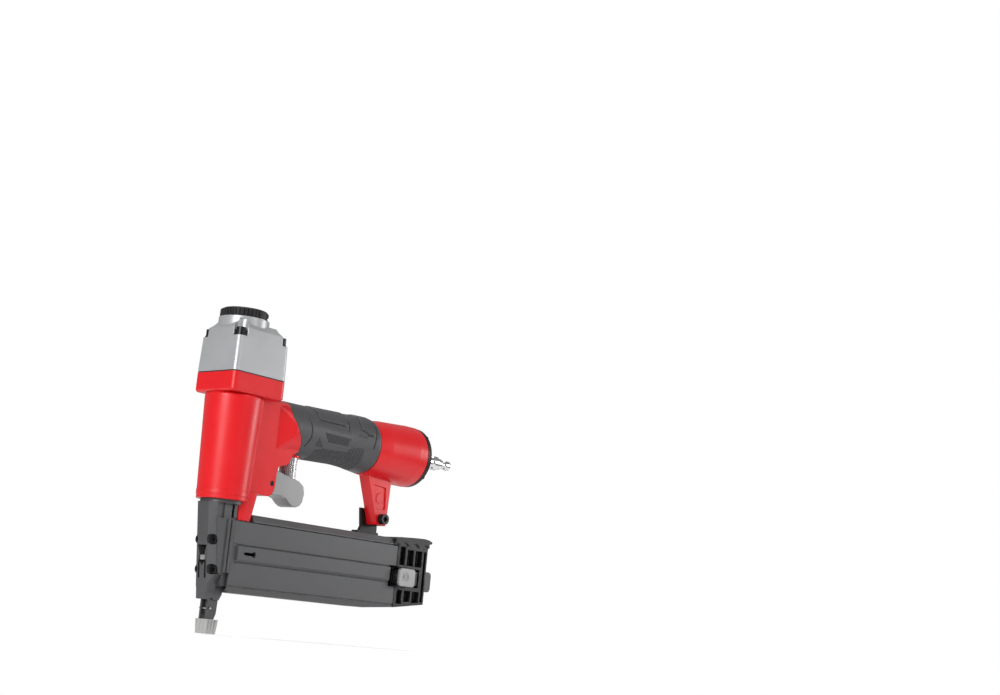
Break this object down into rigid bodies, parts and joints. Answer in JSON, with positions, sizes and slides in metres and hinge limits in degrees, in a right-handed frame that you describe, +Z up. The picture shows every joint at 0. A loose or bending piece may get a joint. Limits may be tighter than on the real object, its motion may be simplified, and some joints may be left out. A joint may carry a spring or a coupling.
{
  "type": "pneumatic nail gun",
  "caption": "Pneumatic brad nailer with a square head, ribbed exhaust deflector, rubber grip, sprung trigger, sliding magazine and no-mar contact tip",
  "frame": {"origin": "centre of the no-mar tip's work face, on the drive axis", "axes": "+Z up the drive axis, +X back along the handle to the air plug, -Y the tool's left side"},
  "size_m": [0.2649, 0.05, 0.2375],
  "materials": {
    "red_paint": "semi-gloss red paint on cast aluminium",
    "grey_paint": "satin light-grey paint on cast aluminium",
    "black_plastic": "black moulded plastic",
    "grey_plastic": "dark grey moulded plastic",
    "black_steel": "black oxide steel",
    "dark_steel": "dark grey phosphated steel",
    "bright_steel": "machined steel",
    "spring_steel": "spring wire",
    "trigger_metal": "satin cast aluminium",
    "alloy": "machined aluminium",
    "chrome_plate": "bright plated steel",
    "grip_rubber": "dark grey moulded rubber",
    "seal_rubber": "black nitrile rubber",
    "tip_plastic": "translucent light-grey plastic",
    "bumper_rubber": "amber polyurethane"
  },
  "bodies": {
    "housing": {"main_housing": "red_paint", "head_cap": "grey_paint", "cap_gasket": "seal_rubber", "cap_screws": "black_steel", "deflector_screw": "black_steel", "deflector_seal": "seal_rubber", "cylinder_sleeve": "alloy", "cylinder_seals": "seal_rubber", "head_valve_spring": "spring_steel", "bumper": "bumper_rubber", "nose_cover": "dark_steel", "nose_body": "dark_steel", "nose_screws": "black_steel", "nose_mount_screws": "black_steel", "contact_arm_spring": "spring_steel", "trigger_pin": "bright_steel", "trigger_valve_body": "bright_steel", "trigger_valve_seals": "seal_rubber", "trigger_valve_spring": "spring_steel", "handle_grip": "grip_rubber", "inlet_cap_gasket": "seal_rubber", "inlet_cap": "black_plastic", "inlet_cap_screws": "black_steel", "air_plug": "chrome_plate", "magazine_rail": "dark_steel", "pusher_spring": "spring_steel", "magazine_bracket": "black_steel", "bracket_screws": "black_steel", "bracket_bolt": "black_steel", "bracket_nut": "black_steel"},
    "deflector": {"exhaust_deflector": "black_plastic"},
    "head_valve": {"head_valve_piston": "black_plastic", "head_valve_seals": "seal_rubber"},
    "drive": {"drive_piston": "alloy", "piston_ring": "seal_rubber", "driver_blade": "bright_steel"},
    "contact": {"contact_arm": "dark_steel", "contact_pin": "bright_steel", "trip_link": "dark_steel", "no_mar_tip": "tip_plastic"},
    "trigger": {"trigger": "trigger_metal", "lever_pin": "bright_steel"},
    "lever": {"trigger_lever": "dark_steel"},
    "stem": {"trigger_valve_stem": "bright_steel"},
    "depth_stop": {"depth_stop": "bright_steel"},
    "cover": {"magazine_cover": "dark_steel", "magazine_end_cap": "black_plastic", "pull_tab": "grey_plastic", "latch_spring": "spring_steel"},
    "pusher": {"pusher": "bright_steel"},
    "latch": {"latch_button": "bright_steel"}
  },
  "joints": [
    {"name": "deflector_turn", "type": "hinge", "parent": "housing", "child": "deflector", "pos_m": [0, 0, 0.2342], "axis": [0, 0, 1], "continuous": true},
    {"name": "head_valve_lift", "type": "slide", "parent": "housing", "child": "head_valve", "axis": [0, 0, 1], "range_m": [0, 0.0035], "stiffness_N_per_m": 2000, "springref_m": -0.003, "deforming": ["head_valve_spring"]},
    {"name": "drive_stroke", "type": "slide", "parent": "housing", "child": "drive", "axis": [0, 0, -1], "range_m": [0, 0.0775]},
    {"name": "contact_slide", "type": "slide", "parent": "housing", "child": "contact", "axis": [0, 0, 1], "range_m": [0, 0.006], "stiffness_N_per_m": 1500, "springref_m": -0.014, "deforming": ["contact_arm_spring"]},
    {"name": "trigger_pull", "type": "hinge", "parent": "housing", "child": "trigger", "pos_m": [0.0339, 0, 0.113], "axis": [0, -1, 0], "range_deg": [0, 8], "stiffness_Nm_per_rad": 0.42, "springref_deg": -8.59},
    {"name": "lever_swing", "type": "hinge", "parent": "trigger", "child": "lever", "pos_m": [0.066, 0, 0.1097], "axis": [0, 1, 0], "range_deg": [0, 9.6]},
    {"name": "stem_slide", "type": "slide", "parent": "housing", "child": "stem", "axis": [0, 0, 1], "range_m": [0, 0.0038], "deforming": ["trigger_valve_spring"]},
    {"name": "depth_set", "type": "slide", "parent": "housing", "child": "depth_stop", "axis": [0, 0, 1], "range_m": [-0.0015, 0]},
    {"name": "magazine_open", "type": "slide", "parent": "housing", "child": "cover", "axis": [1, 0, 0], "range_m": [0, 0.11]},
    {"name": "pusher_slide", "type": "slide", "parent": "housing", "child": "pusher", "axis": [1, 0, 0], "range_m": [0, 0.12], "stiffness_N_per_m": 60, "springref_m": -0.06, "deforming": ["pusher_spring"]},
    {"name": "latch_press", "type": "slide", "parent": "cover", "child": "latch", "axis": [0, 1, 0], "range_m": [0, 0.003], "stiffness_N_per_m": 800, "springref_m": -0.004, "deforming": ["latch_spring"]}
  ],
  "couplings": [
    {"joint": "lever_swing", "follows": "contact_slide", "rad_per_m": 27.14},
    {"joint": "stem_slide", "follows": "trigger_pull", "m_per_rad": 0.0266}
  ]
}
